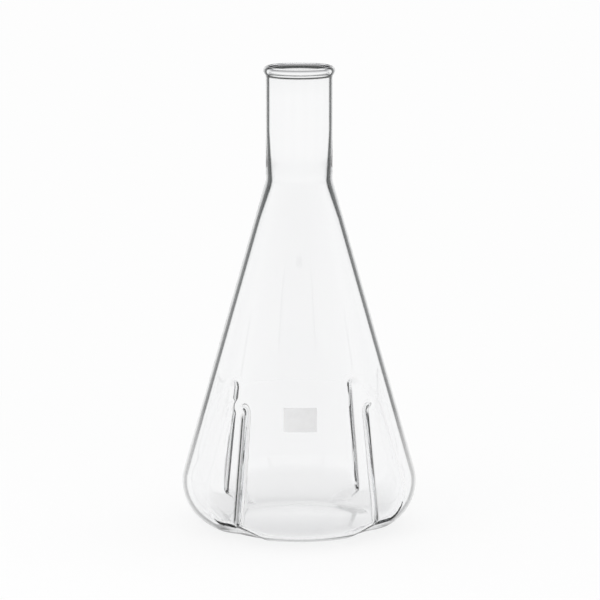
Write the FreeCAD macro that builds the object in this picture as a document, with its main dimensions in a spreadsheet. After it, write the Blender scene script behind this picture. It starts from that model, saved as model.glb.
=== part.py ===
import FreeCAD, Part
import math
import os
import Sketcher
from FreeCAD import Vector

# Trypsinising flask: one blown glass vessel with four deep creases, and a fired enamel field for notes.
# Millimetres, +Z up, origin at the middle of the foot, the enamel field facing -Y.

# Driving sizes: alias, value, what it is (angles in degrees)
SIZES = [
    ("body_diameter", 135.0, "widest outside diameter, at the heel"),
    ("heel_radius", 26.0, "outside rounding from the foot up into the cone"),
    ("cone_half_angle", 15.8, "slope of the cone from the upright"),
    ("neck_diameter", 38.0, "outside diameter of the neck, takes a 38 mm cap"),
    ("neck_foot_radius", 7.0, "outside hollow where the cone runs into the neck"),
    ("overall_height", 266.0, "foot to rim"),
    ("foot_width", 3.0, "flat ring the flask stands on"),
    ("foot_rise", 1.5, "how far the middle of the foot is domed up"),
    ("wall", 2.1, "glass thickness of body and foot"),
    ("neck_wall", 1.5, "glass thickness of the neck at the mouth"),
    ("neck_foot_wall", 2.5, "glass thickness where the neck starts"),
    ("neck_taper", 12.6, "height over which the neck thins from the one to the other"),
    ("bead_stand", 1.3, "beaded rim standing out beyond the neck"),
    ("bead_radius", 3.0, "rounding of the outer side of the bead"),
    ("bead_crown", 2.7, "height of the bead above its widest place"),
    ("lip_radius", 0.6, "fire polish on both edges of the rim"),
    ("crease_root_radius", 3.0, "outside rounding along the bottom of a crease"),
    ("crease_half_angle", 45.0, "each flank of a crease from its middle plane"),
    ("crease_lean", 6.9, "slope of the crease bottom from the upright"),
    ("crease_top_height", 73.5, "height of the upper end of a crease"),
    ("crease_top_depth", 5.1, "how far the crease bottom lies inside the cone there"),
    ("crease_turn", -39.5, "first crease, counted from +X"),
    ("shoulder_radius", 6.5, "outside rounding where a crease meets the lobes"),
    ("field_width", 18.6, "enamel field across"),
    ("field_height", 13.0, "enamel field, upright height"),
    ("field_bottom", 66.5, "lower edge of the enamel field above the foot"),
    ("field_shift", 0.6, "middle of the enamel field to the right of the flask's own middle"),
    ("field_thickness", 0.2, "enamel standing proud of the glass"),
]
CREASES = 4
ON_AXIS = 1e-6

# Sketch vocabulary: the points of an edge, the axes, and directions in degrees
START, END, CENTRE = range(1, 4)
X_AXIS, Y_AXIS = range(-1, -3, -1)
ORIGIN = (X_AXIS, START)
UP, BACK, DOWN = 90, 180, -90

# Radius of the outer cone at a height, as a formula on the sheet
CONE_RADIUS = (
    "(Sizes.body_diameter / 2 - Sizes.heel_radius + (Sizes.heel_radius"
    " - (({level}) - Sizes.heel_radius) * sin(Sizes.cone_half_angle)) / cos(Sizes.cone_half_angle))"
)

doc = FreeCAD.newDocument("trypsinising_flask")
sheet = doc.addObject("Spreadsheet::Sheet", "Sizes")
for row, (alias, value, meaning) in enumerate(SIZES, start=1):
    sheet.set(f"A{row}", meaning)
    sheet.set(f"B{row}", str(value))
    sheet.setAlias(f"B{row}", alias)
doc.recompute()


def size(alias):
    return float(sheet.get(alias))


def origin_feature(body, role):
    return next(f for f in body.Origin.OriginFeatures if f.Role == role)


def new_sketch(body, name, role):
    sketch = body.newObject("Sketcher::SketchObject", name)
    sketch.AttachmentSupport = [(origin_feature(body, role), "")]
    sketch.MapMode = "FlatFace"
    return sketch


def line(start, end):
    return Part.LineSegment(Vector(*start, 0), Vector(*end, 0))


def arc(centre, radius, start_degrees, end_degrees):
    circle = Part.Circle(Vector(*centre, 0), Vector(0, 0, 1), radius)
    return Part.ArcOfCircle(circle, math.radians(start_degrees), math.radians(end_degrees))


def drive(sketch, name, kind, *where, formula):
    """Adds a named dimension whose value follows a formula on the sheet; where ends with a starting value."""
    sketch.addConstraint(Sketcher.Constraint(kind, *where))
    index = sketch.ConstraintCount - 1
    sketch.renameConstraint(index, name)
    sketch.setExpression(f"Constraints.{name}", formula)


def join(sketch, kind, *pairs):
    for first, first_end, second, second_end in pairs:
        sketch.addConstraint(Sketcher.Constraint(kind, first, first_end, second, second_end))


# Half sections, turned round the upright axis


def wall_line_foot(inset):
    """Centre of the heel rounding and the point where the heel runs into the cone, inset into the glass."""
    slope = math.radians(size("cone_half_angle"))
    radius = size("heel_radius") - inset
    centre = (size("body_diameter") / 2 - size("heel_radius"), size("heel_radius"))
    return centre, (centre[0] + radius * math.cos(slope), centre[1] + radius * math.sin(slope))


def neck_foot(inset, neck, hollow):
    """Ends and centre of the hollow rounding between the cone and a neck of the given radius."""
    slope = math.radians(size("cone_half_angle"))
    _, cone_foot = wall_line_foot(inset)
    corner = cone_foot[1] + (cone_foot[0] - neck) / math.tan(slope)
    back = hollow * math.tan(slope / 2)
    on_cone = (neck + back * math.sin(slope), corner - back * math.cos(slope))
    return on_cone, (neck, corner + back), (neck + hollow, corner + back)


def floor_and_heel(sketch, inset, names):
    """The domed floor, its flat ring, the heel and the cone: the first four lines of a half section."""
    centre, cone_foot = wall_line_foot(inset)
    ring_in = centre[0] - size("foot_width")
    rise = size("foot_rise")
    dome = (ring_in**2 + rise**2) / (2 * rise)
    edge = math.degrees(math.acos(ring_in / dome))
    slope = size("cone_half_angle")
    on_cone = neck_foot(inset, names["neck"], names["hollow"])[0]
    sketch.addGeometry(
        [
            arc((0, inset + rise - dome), dome, edge, UP),
            line((ring_in, inset), (centre[0], inset)),
            arc(centre, size("heel_radius") - inset, DOWN, slope),
            line(cone_foot, on_cone),
        ]
    )
    join(sketch, "Coincident", (0, START, 1, START))
    join(sketch, "Tangent", (1, END, 2, START), (2, END, 3, START))
    sketch.addConstraint(Sketcher.Constraint("PointOnObject", 0, CENTRE, Y_AXIS))
    sketch.addConstraint(Sketcher.Constraint("PointOnObject", 0, END, Y_AXIS))
    sketch.addConstraint(Sketcher.Constraint("Horizontal", 1))
    drive(sketch, "rise", "DistanceY", 1, START, 0, END, rise, formula="Sizes.foot_rise")
    drive(sketch, "ring", "DistanceX", 1, START, 1, END, size("foot_width"), formula="Sizes.foot_width")
    drive(sketch, "heel", "Radius", 2, size("heel_radius") - inset, formula=names["heel"])
    drive(sketch, "heel_out", "DistanceX", *ORIGIN, 2, CENTRE, centre[0],
          formula="Sizes.body_diameter / 2 - Sizes.heel_radius")
    drive(sketch, "heel_up", "DistanceY", *ORIGIN, 2, CENTRE, centre[1], formula="Sizes.heel_radius")
    drive(sketch, "slope", "Angle", 3, math.radians(UP + slope), formula=f"{UP} + Sizes.cone_half_angle")


def outer_section(body):
    """Outside of the flask: foot, heel, cone, neck and beaded rim."""
    sketch = new_sketch(body, "outer_section", "XZ_Plane")
    neck, hollow = size("neck_diameter") / 2, size("neck_foot_radius")
    floor_and_heel(sketch, 0, {"neck": neck, "hollow": hollow, "heel": "Sizes.heel_radius"})
    _, on_neck, hollow_centre = neck_foot(0, neck, hollow)
    top, bead = size("overall_height"), size("bead_radius")
    bead_centre = (neck + size("bead_stand") - bead, top - size("bead_crown"))
    low = -math.degrees(math.acos((neck - bead_centre[0]) / bead))
    high = math.degrees(math.asin(size("bead_crown") / bead))
    bead_foot = bead_centre[1] + bead * math.sin(math.radians(low))
    bead_top = bead_centre[0] + bead * math.cos(math.radians(high))
    sketch.addGeometry(
        [
            arc(hollow_centre, hollow, BACK, BACK + size("cone_half_angle")),
            line(on_neck, (neck, bead_foot)),
            arc(bead_centre, bead, low, high),
            line((bead_top, top), (0, top)),
            line((0, top), (0, size("foot_rise"))),
        ]
    )
    join(sketch, "Tangent", (3, END, 4, END), (4, START, 5, START))
    join(sketch, "Coincident", (5, END, 6, START), (6, END, 7, START), (7, END, 8, START), (8, END, 0, END))
    sketch.addConstraint(Sketcher.Constraint("Vertical", 5))
    sketch.addConstraint(Sketcher.Constraint("Horizontal", 7))
    sketch.addConstraint(Sketcher.Constraint("PointOnObject", 8, START, Y_AXIS))
    drive(sketch, "hollow", "Radius", 4, hollow, formula="Sizes.neck_foot_radius")
    drive(sketch, "neck", "DistanceX", *ORIGIN, 5, END, neck, formula="Sizes.neck_diameter / 2")
    drive(sketch, "bead", "Radius", 6, bead, formula="Sizes.bead_radius")
    drive(sketch, "bead_out", "DistanceX", *ORIGIN, 6, CENTRE, bead_centre[0],
          formula="Sizes.neck_diameter / 2 + Sizes.bead_stand - Sizes.bead_radius")
    drive(sketch, "crown", "DistanceY", 6, CENTRE, 6, END, size("bead_crown"), formula="Sizes.bead_crown")
    drive(sketch, "tall", "DistanceY", *ORIGIN, 8, START, top, formula="Sizes.overall_height")
    return sketch


def cavity_section(body):
    """Inside of the flask: one wall in from the outside, then tapering to the bore of the neck."""
    sketch = new_sketch(body, "cavity_section", "XZ_Plane")
    wall = size("wall")
    neck, hollow = size("neck_diameter") / 2, size("neck_foot_radius") + wall
    foot_bore, bore = neck - size("neck_foot_wall"), neck - size("neck_wall")
    names = {"neck": foot_bore, "hollow": hollow, "heel": "Sizes.heel_radius - Sizes.wall"}
    floor_and_heel(sketch, wall, names)
    _, on_neck, hollow_centre = neck_foot(wall, foot_bore, hollow)
    top, bore_foot = size("overall_height"), on_neck[1] + size("neck_taper")
    sketch.addGeometry(
        [
            arc(hollow_centre, hollow, BACK, BACK + size("cone_half_angle")),
            line(on_neck, (bore, bore_foot)),
            line((bore, bore_foot), (bore, top + wall)),
            line((bore, top + wall), (0, top + wall)),
            line((0, top + wall), (0, wall + size("foot_rise"))),
        ]
    )
    join(sketch, "Tangent", (3, END, 4, END), (4, START, 5, START))
    join(sketch, "Coincident", (5, END, 6, START), (6, END, 7, START), (7, END, 8, START), (8, END, 0, END))
    sketch.addConstraint(Sketcher.Constraint("Vertical", 6))
    sketch.addConstraint(Sketcher.Constraint("Horizontal", 7))
    sketch.addConstraint(Sketcher.Constraint("PointOnObject", 8, START, Y_AXIS))
    drive(sketch, "hollow", "Radius", 4, hollow, formula="Sizes.neck_foot_radius + Sizes.wall")
    drive(sketch, "foot_bore", "DistanceX", *ORIGIN, 5, START, foot_bore,
          formula="Sizes.neck_diameter / 2 - Sizes.neck_foot_wall")
    drive(sketch, "bore", "DistanceX", *ORIGIN, 6, START, bore,
          formula="Sizes.neck_diameter / 2 - Sizes.neck_wall")
    drive(sketch, "taper", "DistanceY", 5, START, 6, START, size("neck_taper"), formula="Sizes.neck_taper")
    drive(sketch, "tall", "DistanceY", *ORIGIN, 8, START, top + wall,
          formula="Sizes.overall_height + Sizes.wall")
    return sketch


def turned(body, sketch):
    revolution = body.newObject("PartDesign::Revolution", f"{body.Name}_turned")
    revolution.Profile = sketch
    revolution.ReferenceAxis = (sketch, ["V_Axis"])
    revolution.Angle = 360
    return revolution


# Creases: a V with a rounded root, run down through the heel, its upper end closed by half a turn of the V

CREASE_TOP = CONE_RADIUS.format(level="Sizes.crease_top_height")
CREASE_PLACE = (
    "placement(vector(0; 0; 0); rotation(vector(0; 0; 1); Sizes.crease_turn))"
    f" * placement(vector({CREASE_TOP} - Sizes.crease_top_depth + Sizes.crease_root_radius; 0;"
    " Sizes.crease_top_height); rotation(vector(0; -1; 0); Sizes.crease_lean))"
)


def crease_sketch(body, name):
    """A sketch square to the crease bottom at its upper end, x pointing out of the flask."""
    sketch = new_sketch(body, name, "XY_Plane")
    sketch.setExpression("AttachmentOffset", CREASE_PLACE)
    return sketch


def flank_points(root, reach):
    """Where the flank leaves the root rounding, and where it ends beyond the body."""
    half = math.radians(size("crease_half_angle"))
    tangent = (-root * math.sin(half), root * math.cos(half))
    run = (reach - tangent[0]) / math.cos(half)
    return tangent, (reach, tangent[1] + run * math.sin(half))


def bound_v(sketch, arc_index, flank, outer, root, root_formula, reach):
    """What both V sketches share: the root's size and place, the flank's slope, the reach past the body."""
    join(sketch, "Coincident", (arc_index, CENTRE, *ORIGIN))
    drive(sketch, "root", "Radius", arc_index, root, formula=root_formula)
    drive(sketch, "flank", "Angle", flank, math.radians(size("crease_half_angle")),
          formula="Sizes.crease_half_angle")
    drive(sketch, "reach", "DistanceX", *ORIGIN, outer, START, reach, formula="Sizes.body_diameter / 4")


def crease_run_sketch(body, root, root_formula):
    """The whole V: root rounding, two flanks, and a closing line beyond the body."""
    sketch = crease_sketch(body, f"{body.Name}_crease_section")
    reach = size("body_diameter") / 4
    near, far = flank_points(root, reach)
    half = size("crease_half_angle")
    sketch.addGeometry(
        [
            arc((0, 0), root, UP + half, BACK + UP - half),
            line(near, far),
            line(far, (far[0], -far[1])),
            line((near[0], -near[1]), (far[0], -far[1])),
        ]
    )
    join(sketch, "Tangent", (0, START, 1, START), (0, END, 3, START))
    join(sketch, "Coincident", (1, END, 2, START), (2, END, 3, END))
    sketch.addConstraint(Sketcher.Constraint("Symmetric", 2, START, 2, END, X_AXIS))
    bound_v(sketch, 0, 1, 2, root, root_formula, reach)
    return sketch


def crease_tip_sketch(body, root, root_formula):
    """Half the V, to be turned round its middle line."""
    sketch = crease_sketch(body, f"{body.Name}_crease_half")
    reach = size("body_diameter") / 4
    near, far = flank_points(root, reach)
    sketch.addGeometry(
        [
            arc((0, 0), root, UP + size("crease_half_angle"), BACK),
            line(near, far),
            line(far, (far[0], 0)),
            line((far[0], 0), (-root, 0)),
        ]
    )
    join(sketch, "Tangent", (0, START, 1, START))
    join(sketch, "Coincident", (1, END, 2, START), (2, END, 3, START), (3, END, 0, END))
    sketch.addConstraint(Sketcher.Constraint("Vertical", 2))
    sketch.addConstraint(Sketcher.Constraint("PointOnObject", 3, START, X_AXIS))
    sketch.addConstraint(Sketcher.Constraint("PointOnObject", 3, END, X_AXIS))
    bound_v(sketch, 0, 1, 2, root, root_formula, reach)
    return sketch


def cut_creases(body, root, root_formula):
    run = body.newObject("PartDesign::Pocket", f"{body.Name}_crease_run")
    run.Profile = crease_run_sketch(body, root, root_formula)
    run.Type = "ThroughAll"
    doc.recompute()
    tip_sketch = crease_tip_sketch(body, root, root_formula)
    tip = body.newObject("PartDesign::Groove", f"{body.Name}_crease_tip")
    tip.Profile = tip_sketch
    tip.ReferenceAxis = (tip_sketch, ["H_Axis"])
    tip.Angle = 360
    doc.recompute()
    pattern = body.newObject("PartDesign::PolarPattern", f"{body.Name}_creases")
    pattern.Originals = [run, tip]
    pattern.Axis = (origin_feature(body, "Z_Axis"), [""])
    pattern.Angle = 360
    pattern.Occurrences = CREASES
    body.Tip = pattern
    doc.recompute()
    return pattern


def is_turned(face):
    """Whether a face belongs to the turned form: its axis is the flask's own."""
    surface = face.Surface
    if isinstance(surface, Part.Plane):
        return abs(surface.Axis.x) + abs(surface.Axis.y) < ON_AXIS
    middle = surface.Location if hasattr(surface, "Location") else surface.Center
    upright = isinstance(surface, Part.Sphere) or abs(surface.Axis.x) + abs(surface.Axis.y) < ON_AXIS
    return upright and math.hypot(middle.x, middle.y) < ON_AXIS


def crease_edges(shape):
    """Names of the edges where a crease meets the turned form."""
    names = []
    for number, edge in enumerate(shape.Edges, start=1):
        sides = {is_turned(face) for face in shape.ancestorsOfType(edge, Part.Face)}
        if sides == {True, False}:
            names.append(f"Edge{number}")
    return names


def round_shoulders(body, creases, formula):
    shoulders = body.newObject("PartDesign::Fillet", f"{body.Name}_shoulders")
    shoulders.Base = (creases, crease_edges(creases.Shape))
    shoulders.setExpression("Radius", formula)
    doc.recompute()
    return shoulders


def creased_form(name, section, inset):
    """One skin of the flask as a solid: a turned form, four creases, rounded shoulders."""
    body = doc.addObject("PartDesign::Body", name)
    turned(body, section(body))
    doc.recompute()
    grown = " + Sizes.wall" if inset else ""
    shrunk = " - Sizes.wall" if inset else ""
    creases = cut_creases(body, size("crease_root_radius") + inset, "Sizes.crease_root_radius" + grown)
    round_shoulders(body, creases, "Sizes.shoulder_radius" + shrunk)
    return body


# Glass flask: the outer form less its cavity, then the rim fire polished


def rim_edges(shape):
    top = size("overall_height")
    flat = [e.BoundBox.ZMin > top - ON_AXIS for e in shape.Edges]
    return [f"Edge{number}" for number, level in enumerate(flat, start=1) if level]


def glass_flask():
    body = creased_form("glass", outer_section, 0)
    cavity = creased_form("cavity", cavity_section, size("wall"))
    hollow = body.newObject("PartDesign::Boolean", "hollow")
    hollow.setObjects([cavity])
    hollow.Type = "Cut"
    doc.recompute()
    lip = body.newObject("PartDesign::Fillet", "lip")
    lip.Base = (hollow, rim_edges(hollow.Shape))
    lip.setExpression("Radius", "Sizes.lip_radius")
    body.Label = "glass_flask"
    doc.recompute()
    return body


# Enamel field: a thin rectangle of white enamel fired on the front of the cone

FIELD_LEVELS = ("Sizes.field_bottom", "Sizes.field_bottom + Sizes.field_height")


def field_cone(name, proud):
    """A slice of the cone over the height of the field, standing proud of the glass by the given formula."""
    cone = doc.addObject("Part::Cone", name)
    for which, level in zip(("Radius1", "Radius2"), FIELD_LEVELS):
        cone.setExpression(which, CONE_RADIUS.format(level=level) + proud)
    cone.setExpression("Height", "Sizes.field_height")
    cone.setExpression("Placement.Base.z", "Sizes.field_bottom")
    return cone


def enamel_field():
    ring = doc.addObject("Part::Cut", "enamel_ring")
    ring.Base = field_cone("enamel_outside", " + Sizes.field_thickness / cos(Sizes.cone_half_angle)")
    ring.Tool = field_cone("enamel_inside", "")
    window = doc.addObject("Part::Box", "field_window")
    window.setExpression("Length", "Sizes.field_width")
    window.setExpression("Width", "Sizes.body_diameter / 2")
    window.setExpression("Height", "Sizes.field_height")
    window.setExpression("Placement.Base.x", "Sizes.field_shift - Sizes.field_width / 2")
    window.setExpression("Placement.Base.y", "-Sizes.body_diameter / 2")
    window.setExpression("Placement.Base.z", "Sizes.field_bottom")
    field = doc.addObject("Part::Common", "field")
    field.Base = ring
    field.Tool = window
    field.Label = "enamel_field"
    doc.recompute()
    return field


def check(parts):
    for item in doc.Objects:
        if {"Invalid", "Error"} & set(item.State):
            raise RuntimeError(f"{item.Name} failed: {item.State}")
    for part in parts:
        shape = part.Shape
        if shape.isNull() or not shape.isValid() or len(shape.Solids) != 1:
            raise RuntimeError(f"{part.Label} is not one sound solid")


def write(parts):
    os.makedirs("parts", exist_ok=True)
    for part in parts:
        part.Shape.exportStep(f"parts/{part.Label}.step")
        print(part.Label, round(part.Shape.Volume / 1000, 2), "cm3", len(part.Shape.Faces), "faces")


flask_parts = [glass_flask(), enamel_field()]
check(flask_parts)
write(flask_parts)
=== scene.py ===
# %% [markdown]
# # A blown glass flask, dressed and lit
#
# The flask is one piece of clear glass with four deep creases pressed into its lower wall, and a small
# field of fired enamel on its front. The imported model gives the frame; this lesson gives the looks.

import math

import bmesh
import bpy
import numpy as np
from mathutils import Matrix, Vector


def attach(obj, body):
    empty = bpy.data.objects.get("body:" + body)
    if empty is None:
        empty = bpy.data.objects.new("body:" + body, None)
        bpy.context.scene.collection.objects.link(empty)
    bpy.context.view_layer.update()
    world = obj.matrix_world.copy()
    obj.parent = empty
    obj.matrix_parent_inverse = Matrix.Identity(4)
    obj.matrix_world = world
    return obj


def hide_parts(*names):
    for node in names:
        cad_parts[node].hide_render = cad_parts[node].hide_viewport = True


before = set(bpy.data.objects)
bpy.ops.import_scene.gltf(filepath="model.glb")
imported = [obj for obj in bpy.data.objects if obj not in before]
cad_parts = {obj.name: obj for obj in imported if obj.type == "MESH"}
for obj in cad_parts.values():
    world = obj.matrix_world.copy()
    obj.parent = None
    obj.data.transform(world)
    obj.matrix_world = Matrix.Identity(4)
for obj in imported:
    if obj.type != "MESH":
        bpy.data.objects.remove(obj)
scene = bpy.context.scene
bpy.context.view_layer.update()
print("nodes:", sorted(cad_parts))

# %% [markdown]
# ## The camera
#
# A long lens a good way off, a little above the rim and looking slightly down, is how shop pictures of
# glassware are taken: the sides of the neck stay parallel and the mouth opens into a slim ellipse.
# The shift only brings the flask a hair to the side, as it stands in the photograph.

# %% Camera
CAMERA_PLACE = (0.0, -1.850, 0.4623)
CAMERA_TILT = 79.86
FOCAL_LENGTH = 196.74
FRAME_SHIFT = 0.0013

camera = bpy.data.objects.new("camera", bpy.data.cameras.new("camera"))
camera.data.lens = FOCAL_LENGTH
camera.data.shift_x = FRAME_SHIFT
camera.location = CAMERA_PLACE
camera.rotation_euler = (math.radians(CAMERA_TILT), 0, 0)
scene.collection.objects.link(camera)
scene.camera = camera
print("camera", CAMERA_PLACE, "lens", FOCAL_LENGTH)

# %% [markdown]
# ## The section of the glass
#
# A blown flask starts as a turned form, so its wall is drawn once as a section and spun. The section
# could be a list of points, but here each arc is a single vertex swung about the arc's own centre, and
# each straight is that vertex extruded, as a glassblower's profile drawing has it: a few radii and
# lengths. The line starts under the middle of the foot, runs up the outside, over the rim and down the
# inside to the floor again, so that one spin makes the whole closed wall.

# %% Sizes of the glass, in metres
BODY_RADIUS = 0.0675
HEEL_RADIUS = 0.026
CONE_SLOPE = math.radians(15.8)
NECK_RADIUS = 0.019
NECK_HOLLOW = 0.007
HEIGHT = 0.266
RING_WIDTH = 0.003
FOOT_RISE = 0.0015
WALL = 0.0021
NECK_WALL = 0.0015
NECK_FOOT_WALL = 0.0025
NECK_TAPER = 0.0126
BEAD_RADIUS = 0.003
BEAD_STAND = 0.0013
BEAD_CROWN = 0.0027
LIP_RADIUS = 0.0006
BEAD_SHADE = 0.0009
BEAD_DEPTH = 0.0055

HEEL_CENTRE = (BODY_RADIUS - HEEL_RADIUS, HEEL_RADIUS)
print("heel centre", HEEL_CENTRE)


# %% Pencil moves for a section in the XZ plane
def place(x, z):
    """A point of the section."""
    return (x, 0.0, z)


def swing(bm, last, centre, turn, steps):
    """Swings the last vertex about a centre, anticlockwise for a positive turn in radians."""
    made = bmesh.ops.spin(bm, geom=[last], cent=place(*centre), axis=(0, -1, 0), dvec=(0, 0, 0),
                          angle=turn, steps=steps, use_merge=False, use_duplicate=False)
    return next(item for item in made["geom_last"] if isinstance(item, bmesh.types.BMVert))


def run(bm, last, target, steps):
    """Draws a straight line from the last vertex in equal steps."""
    start, end = last.co.copy(), Vector(place(*target))
    for step in range(1, steps + 1):
        last = bmesh.ops.extrude_vert_indiv(bm, verts=[last])["verts"][0]
        last.co = start.lerp(end, step / steps)
    return last


def tangent_points(inset, neck, hollow):
    """Where a skin of the wall leaves the heel for the cone, and the cone for the neck."""
    heel = HEEL_RADIUS - inset
    low = (HEEL_CENTRE[0] + heel * math.cos(CONE_SLOPE), HEEL_CENTRE[1] + heel * math.sin(CONE_SLOPE))
    corner = low[1] + (low[0] - neck) / math.tan(CONE_SLOPE)
    back = hollow * math.tan(CONE_SLOPE / 2)
    high = (neck + back * math.sin(CONE_SLOPE), corner - back * math.cos(CONE_SLOPE))
    return low, high, (neck + hollow, corner + back)


# %% Rows of the mesh along the section, closest where the glass bends
CREASED_TO = 0.090
CONE_ROWS = [(0.060, 14), (CREASED_TO, 48)]
DOME_ROWS = 10
RING_ROWS = 2
HEEL_ROWS = 34
PLAIN_CONE_ROWS = 10
HOLLOW_ROWS = 6
NECK_ROWS = 6
SHADE_ROWS = 3
BEAD_ROWS = 16
LIP_ROWS = 3
print("rows on the creased cone:", sum(rows for _, rows in CONE_ROWS), "on the heel:", HEEL_ROWS)

# %% Outside of the section, from under the foot up to the bead
RING_IN = HEEL_CENTRE[0] - RING_WIDTH
DOME_RADIUS = (RING_IN**2 + FOOT_RISE**2) / (2 * FOOT_RISE)
DOME_TURN = math.asin(RING_IN / DOME_RADIUS)
QUARTER = math.pi / 2
print("radius of the dome in the foot:", round(DOME_RADIUS, 3))


def on_cone(inset, height):
    """Radius of a skin of the cone at a height."""
    low, _, _ = tangent_points(inset, NECK_RADIUS, NECK_HOLLOW)
    return low[0] - (height - low[1]) * math.tan(CONE_SLOPE)


def draw_outside(bm):
    """Draws the outer skin of the section and gives its last vertex, on the rim."""
    _, high, hollow_centre = tangent_points(0, NECK_RADIUS, NECK_HOLLOW)
    bead_centre = (NECK_RADIUS + BEAD_STAND - BEAD_RADIUS, HEIGHT - BEAD_CROWN)
    bead_low = -math.acos((NECK_RADIUS - bead_centre[0]) / BEAD_RADIUS)
    lip_rise = BEAD_CROWN - LIP_RADIUS
    lip_turn = math.asin(lip_rise / (BEAD_RADIUS - LIP_RADIUS))
    lip_out = bead_centre[0] + math.sqrt((BEAD_RADIUS - LIP_RADIUS)**2 - lip_rise**2)
    neck_top = bead_centre[1] + BEAD_RADIUS * math.sin(bead_low)
    last = bm.verts.new(place(0, FOOT_RISE))
    last = swing(bm, last, (0, FOOT_RISE - DOME_RADIUS), -DOME_TURN, DOME_ROWS)
    last = run(bm, last, (HEEL_CENTRE[0], 0), RING_ROWS)
    last = swing(bm, last, HEEL_CENTRE, QUARTER + CONE_SLOPE, HEEL_ROWS)
    for height, steps in CONE_ROWS:
        last = run(bm, last, (on_cone(0, height), height), steps)
    last = run(bm, last, high, PLAIN_CONE_ROWS)
    last = swing(bm, last, hollow_centre, -CONE_SLOPE, HOLLOW_ROWS)
    last = run(bm, last, (NECK_RADIUS, neck_top - BEAD_SHADE), NECK_ROWS)
    last = run(bm, last, (NECK_RADIUS, neck_top), SHADE_ROWS)
    last = swing(bm, last, bead_centre, lip_turn - bead_low, BEAD_ROWS)
    last = swing(bm, last, (lip_out, HEIGHT - LIP_RADIUS), QUARTER - lip_turn, LIP_ROWS)
    return last


# %% Inside of the section, from the rim back down to the floor
INNER_LIP_ROWS = 5
BEHIND_BEAD_ROWS = 12
BORE_ROWS = 5
TAPER_ROWS = 3


def draw_inside(bm, last):
    """Draws the inner skin of the section and gives its last vertex, on the floor inside."""
    bore = NECK_RADIUS - NECK_WALL
    foot_bore = NECK_RADIUS - NECK_FOOT_WALL
    low, _, hollow_centre = tangent_points(WALL, foot_bore, NECK_HOLLOW + WALL)
    last = run(bm, last, (bore + LIP_RADIUS, HEIGHT), 1)
    last = swing(bm, last, (bore + LIP_RADIUS, HEIGHT - LIP_RADIUS), QUARTER, INNER_LIP_ROWS)
    last = run(bm, last, (bore, HEIGHT - BEAD_DEPTH), BEHIND_BEAD_ROWS)
    last = run(bm, last, (bore, hollow_centre[1] + NECK_TAPER), BORE_ROWS)
    last = run(bm, last, (foot_bore, hollow_centre[1]), TAPER_ROWS)
    last = swing(bm, last, hollow_centre, CONE_SLOPE, HOLLOW_ROWS)
    last = run(bm, last, (on_cone(WALL, CREASED_TO), CREASED_TO), PLAIN_CONE_ROWS)
    for height, (_, steps) in ((CONE_ROWS[0][0], CONE_ROWS[1]), (low[1], CONE_ROWS[0])):
        last = run(bm, last, (on_cone(WALL, height), height), steps)
    last = swing(bm, last, HEEL_CENTRE, -QUARTER - CONE_SLOPE, HEEL_ROWS)
    last = run(bm, last, (RING_IN, WALL), RING_ROWS)
    last = swing(bm, last, (0, WALL + FOOT_RISE - DOME_RADIUS), DOME_TURN, DOME_ROWS)
    return last


print("bore of the neck in mm:", round((NECK_RADIUS - NECK_WALL) * 2000, 1))


# %% [markdown]
# ## Spinning the wall
#
# One full spin turns the section into the closed wall. The columns are then drawn together round the
# four creases, where the glass bends sharply, and spread out over the lobes, where it hardly bends:
# the same number of faces then gives smooth refraction everywhere.

# %% Spin and gather the columns
CREASES = 4
CREASE_TURN = math.radians(-39.5)
COLUMNS = CREASES * 80
GATHERING = 0.30
MERGE_WITHIN = 1e-6
INNER = "inner_skin"


def spun_wall():
    """The closed wall as a mesh, each vertex marked by its skin."""
    bm = bmesh.new()
    inner = bm.verts.layers.float.new(INNER)
    last = draw_outside(bm)
    outer_count = len(bm.verts)
    last = draw_inside(bm, last)
    last.co.x = 0
    for vertex in bm.verts[:][outer_count:]:
        vertex[inner] = 1.0
    bmesh.ops.spin(bm, geom=bm.verts[:] + bm.edges[:], cent=(0, 0, 0), axis=(0, 0, 1), dvec=(0, 0, 0),
                   angle=2 * math.pi, steps=COLUMNS, use_merge=True, use_duplicate=False)
    bmesh.ops.remove_doubles(bm, verts=bm.verts, dist=MERGE_WITHIN)
    bmesh.ops.recalc_face_normals(bm, faces=bm.faces)
    mesh = bpy.data.meshes.new("flask")
    bm.to_mesh(mesh)
    bm.free()
    return mesh


def gather_columns(points):
    """Turns each point about the axis so that columns crowd towards the nearest crease."""
    span = 2 * math.pi / CREASES
    angle = np.arctan2(points[:, 1], points[:, 0]) - CREASE_TURN
    nearest = np.round(angle / span)
    share = (angle - nearest * span) / (span / 2)
    share = GATHERING * share + (1 - GATHERING) * share**3
    angle = CREASE_TURN + nearest * span + share * span / 2
    radius = np.hypot(points[:, 0], points[:, 1])
    return np.stack([radius * np.cos(angle), radius * np.sin(angle), points[:, 2]], axis=1)


flask_mesh = spun_wall()
points = np.empty(len(flask_mesh.vertices) * 3)
flask_mesh.vertices.foreach_get("co", points)
points = gather_columns(points.reshape(-1, 3))
inner_share = [item.value for item in flask_mesh.attributes[INNER].data]
print("vertices:", len(points), "faces:", len(flask_mesh.polygons))
print("share of vertices on the inner skin:", round(sum(inner_share) / len(inner_share), 3))

# %% [markdown]
# ## Pressing the creases
#
# On the real flask the hot wall is pressed in with a tool, so outside and inside move together and the
# glass keeps its thickness. A boolean cut would leave hard edges, so the creased form is written as a
# distance instead: how far a point lies outside the turned form, how far it lies inside the nearest
# rounded V, and a circular rounding where the two meet. Every vertex slides along the turned form's
# own normal until that distance is nought on the outside, or minus one wall on the inside. Below its V
# each crease runs on under the heel as a shallow round scoop, which dies out at the foot ring.

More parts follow.
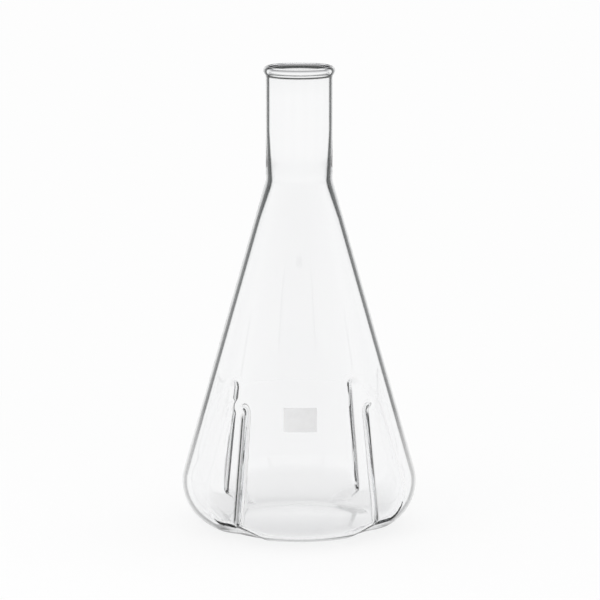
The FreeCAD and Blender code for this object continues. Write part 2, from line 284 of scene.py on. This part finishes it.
# %% Sizes of a crease, in metres
ROOT_RADIUS = 0.003
FLANK = math.radians(45.0)
LEAN = math.radians(6.9)
CREASE_TOP = 0.0735
CREASE_DEPTH = 0.0051
SHOULDER = 0.0065
TOP_DISTANCE = on_cone(0, CREASE_TOP) - CREASE_DEPTH + ROOT_RADIUS
SCOOP_RADIUS = 0.060
SCOOP_START = 0.0405
SCOOP_SLOPE = math.radians(26.0)
RING_KEPT = (0.0415, 0.0465)        # no slide inside the first radius, the whole slide outside the second
SLIDES = 60
TINY = 1e-9
STEEPEST_LEAN = 0.999
print("crease top, from the axis:", round(TOP_DISTANCE, 5))


# %% Distance to the turned form and to a crease
def turned_distance(p):
    """Distance outside heel and cone, with its direction."""
    radius = np.hypot(p[:, 0], p[:, 1])
    across, up = radius - HEEL_CENTRE[0], p[:, 2] - HEEL_CENTRE[1]
    on_heel = np.arctan2(up, across) < CONE_SLOPE
    reach = np.maximum(np.hypot(across, up), TINY)
    out = np.where(on_heel, across / reach, math.cos(CONE_SLOPE))
    rise = np.where(on_heel, up / reach, math.sin(CONE_SLOPE))
    distance = across * out + up * rise - HEEL_RADIUS
    return distance, np.stack([out * p[:, 0] / radius, out * p[:, 1] / radius, rise], axis=1)


def scoop_distance(out, aside, up):
    """Distance into a round bar that rises outwards under the heel, with its direction."""
    over = up * math.cos(SCOOP_SLOPE) - (out - SCOOP_START) * math.sin(SCOOP_SLOPE) + SCOOP_RADIUS
    reach = np.maximum(np.hypot(aside, over), TINY)
    level = over / reach * math.sin(SCOOP_SLOPE)
    return SCOOP_RADIUS - reach, (level, -aside / reach, -over / reach * math.cos(SCOOP_SLOPE))


def crease_distance(p):
    """Distance into the air of the nearest crease, with its direction."""
    span = 2 * math.pi / CREASES
    angle = np.arctan2(p[:, 1], p[:, 0])
    middle = CREASE_TURN + np.round((angle - CREASE_TURN) / span) * span
    forward = p[:, 0] * np.cos(middle) + p[:, 1] * np.sin(middle)
    ahead = forward - TOP_DISTANCE
    aside = p[:, 1] * np.cos(middle) - p[:, 0] * np.sin(middle)
    above = p[:, 2] - CREASE_TOP
    out = ahead * math.cos(LEAN) + above * math.sin(LEAN)
    along = np.maximum(above * math.cos(LEAN) - ahead * math.sin(LEAN), 0)
    side = np.maximum(np.hypot(aside, along), TINY)
    in_root = out * math.cos(FLANK) + side * math.sin(FLANK) < 0
    reach = np.maximum(np.hypot(out, side), TINY)
    distance = np.where(in_root, ROOT_RADIUS - reach,
                        out * math.sin(FLANK) - side * math.cos(FLANK) + ROOT_RADIUS)
    by_out = np.where(in_root, -out / reach, math.sin(FLANK))
    by_side = np.where(in_root, -side / reach, -math.cos(FLANK))
    level = by_out * math.cos(LEAN) - by_side * along / side * math.sin(LEAN)
    turn = by_side * aside / side
    rise = by_out * math.sin(LEAN) + by_side * along / side * math.cos(LEAN)
    scoop, by_scoop = scoop_distance(forward, aside, p[:, 2])
    level, turn, rise = (np.where(scoop > distance, there, here)
                         for there, here in zip(by_scoop, (level, turn, rise)))
    distance = np.maximum(distance, scoop)
    direction = np.stack([level * np.cos(middle) - turn * np.sin(middle),
                          level * np.sin(middle) + turn * np.cos(middle), rise], axis=1)
    return distance, direction


def creased_distance(p):
    """Distance outside the creased form, its shoulders rounded by a circle."""
    turned, out = turned_distance(p)
    crease, into = crease_distance(p)
    lean = np.clip((out * into).sum(axis=1), -STEEPEST_LEAN, STEEPEST_LEAN)
    a, b = turned + SHOULDER, crease + SHOULDER
    spread = 1 - lean**2
    rounded = (a > b * lean) & (b > a * lean)
    circle = np.sqrt(np.maximum(a * a + b * b - 2 * a * b * lean, 0) / spread) - SHOULDER
    return np.where(rounded, circle, np.maximum(turned, crease))


# %% Slide the wall into the creases
def press_creases(p):
    """Slides the vertices of heel and cone along the turned form's normal to the creased form."""
    moved = p.copy()
    reached = (p[:, 2] < CREASED_TO + WALL) & (np.hypot(p[:, 0], p[:, 1]) > HEEL_CENTRE[0] - WALL / 10)
    start = p[reached]
    distance, out = turned_distance(start)
    level = np.where(distance > -WALL / 2, 0, -WALL)        # nought for the outer skin, a wall for the inner
    depth = np.zeros(len(start))
    for _ in range(SLIDES):
        depth += np.maximum(creased_distance(start - out * depth[:, None]) - level, 0)
    kept = np.interp(np.hypot(start[:, 0], start[:, 1]), RING_KEPT, (0, 1))
    depth *= kept * kept * (3 - 2 * kept)
    moved[reached] = start - out * depth[:, None]
    print("deepest slide in mm:", round(depth.max() * 1000, 2), "vertices:", int((depth > 1e-5).sum()))
    return moved


points = press_creases(points)
flask_mesh.vertices.foreach_set("co", points.ravel())
flask_mesh.update()
flask_mesh.shade_smooth()

# %% [markdown]
# ## Painted dark lines in the creases and at the bead
#
# The flask's darkest lines run along the bottom of each crease and round the bead, where the glass bends
# most sharply. They are painted shade: each vertex keeps how near it lies to such a line, and the glass
# material paints its colour dark there.
# How full the lines are was set to the photograph, crease by crease.

# %% Nearness to the painted dark lines
# painted shade: this attribute holds how near each vertex lies to a painted dark line
PAINTED_LINE_ATTRIBUTE = "painted_line_share"
ROOT_LINE = 0.0008
ROOT_ENDS = (0.006, 0.009, 0.070, 0.074)        # heights between which the roots' lines come and go
PRESSED_FROM = 1.3                              # in walls: shallower pressing draws no line
ROOT_FULLNESS = (1.9, 0.85, 0.80, 1.3)          # crease by crease, a quarter turn apart
BEAD_LINES = (                                  # height, spread and fullness
    (0.2608, 0.0005, 1.5),                      # on the outer skin, under the bead
    (0.26375, 0.00065, 4.5),                    # on the inner skin, behind the bead
)


def nearness_to_lines(p, on_inner):
    """From 0, far from every line, to 1 on a full one."""
    span = 2 * math.pi / CREASES
    angle = np.arctan2(p[:, 1], p[:, 0]) - CREASE_TURN
    nearest = np.round(angle / span)
    fullness = np.array(ROOT_FULLNESS)[nearest.astype(int) % CREASES]
    aside = np.hypot(p[:, 0], p[:, 1]) * np.sin(angle - nearest * span)
    pressed = np.clip(-turned_distance(p)[0] / WALL - PRESSED_FROM, 0, 1) * (p[:, 2] < CREASED_TO)
    root = np.exp(-(aside / ROOT_LINE)**2) * pressed * np.interp(p[:, 2], ROOT_ENDS, (0, 1, 1, 0))
    below, within = (full * np.exp(-((p[:, 2] - height) / spread)**2)
                     for height, spread, full in BEAD_LINES)
    return np.minimum(np.maximum(fullness * root, np.where(on_inner > 0.5, within, below)), 1)


painted_line_share = nearness_to_lines(points, np.array(inner_share))
flask_mesh.attributes.new(PAINTED_LINE_ATTRIBUTE, "FLOAT", "POINT").data.foreach_set("value", painted_line_share)
print("vertices on the lines:", int((painted_line_share > 0.5).sum()))

# %% Hand the wall to the frame
flask = bpy.data.objects.new("flask_glass", flask_mesh)
scene.collection.objects.link(flask)
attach(flask, "root")
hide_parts("glass_flask")
print("flask box in mm:", np.round(points.min(axis=0) * 1000, 2), np.round(points.max(axis=0) * 1000, 2))


# %% [markdown]
# ## Clear glass
#
# Borosilicate glass is colourless and perfectly smooth, so its looks come from refraction: the body is
# nearly as bright as what stands behind it, and every edge is a dark line. In a bright studio those
# lines come from the dark room beyond the white paper. Here they are painted shade instead: the glass's
# colour is painted dark where it is met at a grazing angle, which gives the same lines from every side.
# The angle is weighed by the square root of the distance from the axis over the wall's thickness, so
# that the painted dark line lies one wall inside the outline on the slim neck and on the broad body alike.

# %% Small helpers for node trees
def node_tree(name):
    """A new material and its empty node tree."""
    material = bpy.data.materials.new(name)
    material.use_nodes = True
    material.node_tree.nodes.clear()
    return material, material.node_tree


def add_node(tree, kind, **settings):
    """A new node with its settings."""
    node = tree.nodes.new(kind)
    for name, value in settings.items():
        setattr(node, name, value)
    return node


def add_math(tree, operation, first, second):
    """A math node fed by sockets or plain numbers."""
    node = add_node(tree, "ShaderNodeMath", operation=operation)
    for socket, value in zip(node.inputs, (first, second)):
        if isinstance(value, bpy.types.NodeSocket):
            tree.links.new(value, socket)
        else:
            socket.default_value = value
    return node.outputs[0]


def add_ramp(tree, factor, stops):
    """A colour ramp with a stop for each (place, colour)."""
    node = add_node(tree, "ShaderNodeValToRGB")
    ramp = node.color_ramp
    while len(ramp.elements) < len(stops):
        ramp.elements.new(0.5)
    for element, (position, colour) in zip(ramp.elements, stops):
        element.position = position
        element.color = (*colour, 1)
    tree.links.new(factor, node.inputs["Fac"])
    return node.outputs["Color"]


def add_fade(tree, value, ends, interpolation="LINEAR"):
    """A value fading from one end to the other: from, to, and what it is at each."""
    node = add_node(tree, "ShaderNodeMapRange", interpolation_type=interpolation)
    for name, end in zip(("From Min", "From Max", "To Min", "To Max"), ends):
        node.inputs[name].default_value = end
    tree.links.new(value, node.inputs["Value"])
    return node.outputs["Result"]


print("helpers for node trees:",
      [helper.__name__ for helper in (node_tree, add_node, add_math, add_ramp, add_fade)])

# %% Colours and places of the glass material
GLASS_IOR = 1.473
GLASS_TINT = (0.60, 0.63, 0.66)
TINT_DENSITY = 22.0
SHADOW_CLEARNESS = (0.990, 0.991, 0.992)
CLEAR = (0.995, 0.995, 0.996)
# painted shade: the glass colour darkens where it is met at a grazing angle, in place of a dark room
PAINTED_EDGE_STOPS = [       # 0 on the outline, 0.5 one wall inside it
    (0.00, (0.80, 0.81, 0.81)),
    (0.27, (0.50, 0.51, 0.51)),
    (0.375, (0.010, 0.011, 0.011)),
    (0.545, (0.002, 0.003, 0.003)),
    (0.60, (0.92, 0.925, 0.925)),
    (0.67, (0.995, 0.995, 0.995)),
]
# painted shade: the near-black colour painted on the crease roots and round the bead
PAINTED_LINE_TONE = (0.003, 0.0035, 0.0033)
NECK_FADE = (0.198, 0.230, 0.0027, 0.00145)        # heights, and the wall at each
CONE_FADE = (0.180, 0.198, 0.76, 1.0)              # heights, and the share of that wall
WALL_WEIGHT = 8.0                                  # puts the middle of the line one wall inside the outline
HEEL_FADE = (0.056, 0.067, 0.0, 0.22)              # radii, and how far the heel is spared the line
FOOT_TOP = 0.004                                   # the foot reaches up to here
FOOT_FADE = (0.042, 0.044, 1.0, 0.35)              # radii, and how far the foot is spared it
print("glass of refractive index", GLASS_IOR)


# %% The painted dark line along the outline
def painted_outline_shade(tree):
    """The glass colour, painted dark by the angle at which it is met: painted shade along the outline."""
    place_on = add_node(tree, "ShaderNodeTexCoord")
    split = add_node(tree, "ShaderNodeSeparateXYZ")
    tree.links.new(place_on.outputs["Object"], split.inputs[0])
    square = add_math(tree, "ADD", add_math(tree, "POWER", split.outputs["X"], 2.0),
                      add_math(tree, "POWER", split.outputs["Y"], 2.0))
    radius = add_math(tree, "POWER", square, 0.5)
    wall = add_math(tree, "MULTIPLY", add_fade(tree, split.outputs["Z"], NECK_FADE),
                    add_fade(tree, split.outputs["Z"], CONE_FADE))
    walls = add_math(tree, "DIVIDE", radius, add_math(tree, "MULTIPLY", wall, WALL_WEIGHT))
    facing = add_node(tree, "ShaderNodeLayerWeight")
    facing.inputs["Blend"].default_value = 0.5
    slant = add_math(tree, "SUBTRACT", 1.0, facing.outputs["Facing"])
    line = add_ramp(tree, add_math(tree, "MULTIPLY", slant, add_math(tree, "POWER", walls, 0.5)), PAINTED_EDGE_STOPS)
    skin = add_node(tree, "ShaderNodeAttribute", attribute_name=INNER)
    foot = add_math(tree, "MULTIPLY", add_math(tree, "LESS_THAN", split.outputs["Z"], FOOT_TOP),
                    add_fade(tree, radius, FOOT_FADE))
    spared = add_math(tree, "MAXIMUM", add_math(tree, "MAXIMUM", skin.outputs["Fac"], foot),
                      add_fade(tree, radius, HEEL_FADE))
    tone = add_node(tree, "ShaderNodeMix", data_type="RGBA")
    tree.links.new(spared, tone.inputs["Factor"])
    tree.links.new(line, tone.inputs["A"])
    tone.inputs["B"].default_value = (*CLEAR, 1)
    return tone.outputs["Result"]


# %% The painted dark lines at the crease roots and round the bead
def with_painted_dark_lines(tree, light):
    """The same colour, painted near black on the crease roots and round the bead where light enters: painted
    shade.
    """
    near = add_node(tree, "ShaderNodeAttribute", attribute_name=PAINTED_LINE_ATTRIBUTE)
    side = add_node(tree, "ShaderNodeNewGeometry")
    entering = add_math(tree, "SUBTRACT", 1.0, side.outputs["Backfacing"])
    dark = add_node(tree, "ShaderNodeMix", data_type="RGBA")
    tree.links.new(add_math(tree, "MULTIPLY", near.outputs["Fac"], entering), dark.inputs["Factor"])
    tree.links.new(light, dark.inputs["A"])
    dark.inputs["B"].default_value = (*PAINTED_LINE_TONE, 1)
    return dark.outputs["Result"]


# %% Glass material
def clear_glass():
    """Smooth refracting glass with its painted dark lines, a faint tint in its depth and a pale shadow."""
    material, tree = node_tree("clear_glass")
    glass = add_node(tree, "ShaderNodeBsdfPrincipled")
    glass.inputs["Roughness"].default_value = 0.0
    glass.inputs["IOR"].default_value = GLASS_IOR
    glass.inputs["Transmission Weight"].default_value = 1.0
    tree.links.new(with_painted_dark_lines(tree, painted_outline_shade(tree)), glass.inputs["Base Color"])
    clear = add_node(tree, "ShaderNodeBsdfTransparent")
    clear.inputs["Color"].default_value = (*SHADOW_CLEARNESS, 1)
    path = add_node(tree, "ShaderNodeLightPath")
    mix = add_node(tree, "ShaderNodeMixShader")
    tree.links.new(path.outputs["Is Shadow Ray"], mix.inputs["Fac"])
    tree.links.new(glass.outputs[0], mix.inputs[1])
    tree.links.new(clear.outputs[0], mix.inputs[2])
    absorb = add_node(tree, "ShaderNodeVolumeAbsorption")
    absorb.inputs["Color"].default_value = (*GLASS_TINT, 1)
    absorb.inputs["Density"].default_value = TINT_DENSITY
    out = add_node(tree, "ShaderNodeOutputMaterial")
    tree.links.new(mix.outputs[0], out.inputs["Surface"])
    tree.links.new(absorb.outputs[0], out.inputs["Volume"])
    return material


flask.data.materials.append(clear_glass())
print("the flask's finish:", [slot.material.name for slot in flask.material_slots])

# %% [markdown]
# ## The enamel field
#
# A rectangle of white enamel is screened onto the cone and fired, so that it takes pencil. It stands
# two tenths of a millimetre proud and follows the cone. The CAD solid already has that form, so it
# stays and gets a matt enamel with the faint unevenness of a fired print.

# %% Enamel material
ENAMEL_LIGHT = (0.790, 0.790, 0.792)
ENAMEL_DARK = (0.755, 0.755, 0.757)
ENAMEL_ROUGHNESS = 0.55
ENAMEL_IOR = 1.5
MOTTLE_SCALE = 260.0
MOTTLE_DETAIL = 3.0
GRAIN_SCALE = 2600.0
GRAIN_STRENGTH = 0.25
GRAIN_HEIGHT = 0.00003


def fired_enamel():
    """Matt white enamel, faintly mottled, with a fine grain."""
    material, tree = node_tree("fired_enamel")
    place_on = add_node(tree, "ShaderNodeTexCoord")
    mottle = add_node(tree, "ShaderNodeTexNoise")
    mottle.inputs["Scale"].default_value = MOTTLE_SCALE
    mottle.inputs["Detail"].default_value = MOTTLE_DETAIL
    grain = add_node(tree, "ShaderNodeTexNoise")
    grain.inputs["Scale"].default_value = GRAIN_SCALE
    for texture in (mottle, grain):
        tree.links.new(place_on.outputs["Object"], texture.inputs["Vector"])
    enamel = add_node(tree, "ShaderNodeBsdfPrincipled")
    enamel.inputs["Roughness"].default_value = ENAMEL_ROUGHNESS
    enamel.inputs["IOR"].default_value = ENAMEL_IOR
    tone = add_ramp(tree, mottle.outputs["Fac"], [(0.3, ENAMEL_DARK), (0.7, ENAMEL_LIGHT)])
    tree.links.new(tone, enamel.inputs["Base Color"])
    bump = add_node(tree, "ShaderNodeBump")
    bump.inputs["Strength"].default_value = GRAIN_STRENGTH
    bump.inputs["Distance"].default_value = GRAIN_HEIGHT
    tree.links.new(grain.outputs["Fac"], bump.inputs["Height"])
    tree.links.new(bump.outputs[0], enamel.inputs["Normal"])
    out = add_node(tree, "ShaderNodeOutputMaterial")
    tree.links.new(enamel.outputs[0], out.inputs["Surface"])
    return material


def dress(node, material):
    """Gives every material slot of a CAD node the same finish."""
    for slot in node.material_slots:
        slot.link = "OBJECT"
        slot.material = material


dress(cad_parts["enamel_field"], fired_enamel())

# %% [markdown]
# ## Floor and light
#
# White glassware is shown on white: the paper is as bright as the sky, so no line shows where one ends.
# Near the flask the floor is part matt paper, which takes its soft shadow; farther out it turns into the
# even white of the backdrop. That white is only seen, straight, mirrored or through the glass: matt things
# are lit by the plain paper. The world lights matt things gently, and what is seen straight is one even
# white. Mirrored or through the glass, it darkens higher up like a studio's ceiling, which draws the level
# lines of rim and heel, and pale gaps between light panels give a faint upright grain.

# %% Floor
FLOOR_RADIUS = 0.45
FLOOR_SIDES = 96
PAPER = (0.90, 0.90, 0.90)
BACKDROP = (0.983, 0.983, 0.983)
PAPER_GLOW = 0.74        # share of the even white that is seen close to the flask
PAPER_TO = 0.15
BACKDROP_FROM = 0.42


def white_paper():
    """Paper that takes a shadow and turns into the even white farther out."""
    material, tree = node_tree("white_paper")
    place_on = add_node(tree, "ShaderNodeTexCoord")
    away = add_node(tree, "ShaderNodeVectorMath", operation="LENGTH")
    tree.links.new(place_on.outputs["Object"], away.inputs[0])
    glow = add_fade(tree, away.outputs["Value"], (PAPER_TO, BACKDROP_FROM, PAPER_GLOW, 1.0), "SMOOTHSTEP")
    paper = add_node(tree, "ShaderNodeBsdfDiffuse")
    paper.inputs["Color"].default_value = (*PAPER, 1)
    white = add_node(tree, "ShaderNodeEmission")
    white.inputs["Color"].default_value = (*BACKDROP, 1)
    path = add_node(tree, "ShaderNodeLightPath")
    shown = add_math(tree, "MAXIMUM", path.outputs["Is Camera Ray"], path.outputs["Is Glossy Ray"])
    shown = add_math(tree, "MAXIMUM", shown, path.outputs["Is Transmission Ray"])
    mix = add_node(tree, "ShaderNodeMixShader")
    tree.links.new(add_math(tree, "MULTIPLY", glow, shown), mix.inputs["Fac"])
    tree.links.new(paper.outputs[0], mix.inputs[1])
    tree.links.new(white.outputs[0], mix.inputs[2])
    out = add_node(tree, "ShaderNodeOutputMaterial")
    tree.links.new(mix.outputs[0], out.inputs["Surface"])
    return material


bm = bmesh.new()
bmesh.ops.create_circle(bm, cap_ends=True, segments=FLOOR_SIDES, radius=FLOOR_RADIUS)
floor_mesh = bpy.data.meshes.new("floor")
bm.to_mesh(floor_mesh)
bm.free()
floor = bpy.data.objects.new("floor", floor_mesh)
scene.collection.objects.link(floor)
floor.data.materials.append(white_paper())
print("floor of radius", FLOOR_RADIUS)

# %% World
SOFT_LIGHT = 0.87
PANELS = 8
SKY_STOPS = [        # by height above or below the horizon, 1 at the zenith
    (0.00, (0.983, 0.983, 0.983)),
    (0.22, (0.983, 0.983, 0.983)),
    (0.42, (0.40, 0.40, 0.41)),
    (0.65, (0.03, 0.03, 0.032)),
]
GAP_STOPS = [        # across a panel, 0 in the middle of a gap
    (0.28, (0.90, 0.90, 0.905)),
    (0.45, (1.0, 1.0, 1.0)),
]


def studio_world():
    """Soft light for matt things, a sky for the glass and an even white for the camera."""
    world = bpy.data.worlds.new("studio")
    world.use_nodes = True
    tree = world.node_tree
    tree.nodes.clear()
    direction = add_node(tree, "ShaderNodeTexCoord")
    split = add_node(tree, "ShaderNodeSeparateXYZ")
    tree.links.new(direction.outputs["Generated"], split.inputs[0])
    seen = add_node(tree, "ShaderNodeBackground")
    sky = add_ramp(tree, add_math(tree, "ABSOLUTE", split.outputs["Z"], 0.0), SKY_STOPS)
    round_about = add_math(tree, "MULTIPLY", add_math(tree, "ARCTAN2", split.outputs["Y"],
                                                      split.outputs["X"]), PANELS)
    wave = add_math(tree, "MULTIPLY", add_math(tree, "COSINE", round_about, 0.0), 0.5)
    gaps = add_ramp(tree, add_math(tree, "ADD", wave, 0.5), GAP_STOPS)
    shade = add_node(tree, "ShaderNodeVectorMath", operation="MULTIPLY")
    tree.links.new(sky, shade.inputs[0])
    tree.links.new(gaps, shade.inputs[1])
    tree.links.new(shade.outputs[0], seen.inputs["Color"])
    plain = add_node(tree, "ShaderNodeBackground")
    plain.inputs["Color"].default_value = (*BACKDROP, 1)
    soft = add_node(tree, "ShaderNodeBackground")
    soft.inputs["Strength"].default_value = SOFT_LIGHT
    mirrored = add_node(tree, "ShaderNodeBackground")
    tree.links.new(sky, mirrored.inputs["Color"])
    path = add_node(tree, "ShaderNodeLightPath")
    shown = soft
    for kind, light in (("Is Glossy Ray", mirrored), ("Is Transmission Ray", seen), ("Is Camera Ray", plain)):
        mix = add_node(tree, "ShaderNodeMixShader")
        tree.links.new(path.outputs[kind], mix.inputs["Fac"])
        tree.links.new(shown.outputs[0], mix.inputs[1])
        tree.links.new(light.outputs[0], mix.inputs[2])
        shown = mix
    out = add_node(tree, "ShaderNodeOutputWorld")
    tree.links.new(shown.outputs[0], out.inputs["Surface"])
    return world


scene.world = studio_world()
scene.view_settings.view_transform = "Standard"
print("soft light from the world:", SOFT_LIGHT)


# %% Lamps
LAMP_AIM = (0, 0, 0.1)
LAMPS = [        # name, place, side of the square, power
    ("key", (-0.9, -0.9, 1.6), 0.8, 15.5),
    ("fill", (1.1, 0.5, 1.5), 0.9, 7.5),
]


def soft_lamp(name, place_at, side, power):
    """A square lamp that lights matt things but isn't itself seen in the glass."""
    data = bpy.data.lights.new(name, "AREA")
    data.shape = "SQUARE"
    data.size = side
    data.energy = power
    lamp = bpy.data.objects.new(name, data)
    lamp.location = place_at
    lamp.visible_glossy = False
    lamp.visible_transmission = False
    towards = np.array(LAMP_AIM) - np.array(place_at)
    lamp.rotation_euler = (math.atan2(math.hypot(towards[0], towards[1]), -towards[2]), 0,
                           math.atan2(-towards[0], towards[1]))
    scene.collection.objects.link(lamp)
    return lamp


for row in LAMPS:
    print("lamp:", soft_lamp(*row).name)

# %% [markdown]
# ## Paths through the glass
#
# A ray through the creases meets eight skins or more, and each wall may mirror it several times. The
# render is allowed that many turns, so that no part of the glass goes black for want of them.

# %% Depth of the light paths
PATH_TURNS = 32
MIRRORINGS = 12

scene.cycles.max_bounces = PATH_TURNS
scene.cycles.transmission_bounces = PATH_TURNS
scene.cycles.transparent_max_bounces = PATH_TURNS
scene.cycles.glossy_bounces = MIRRORINGS
print("turns of a light path:", scene.cycles.max_bounces)
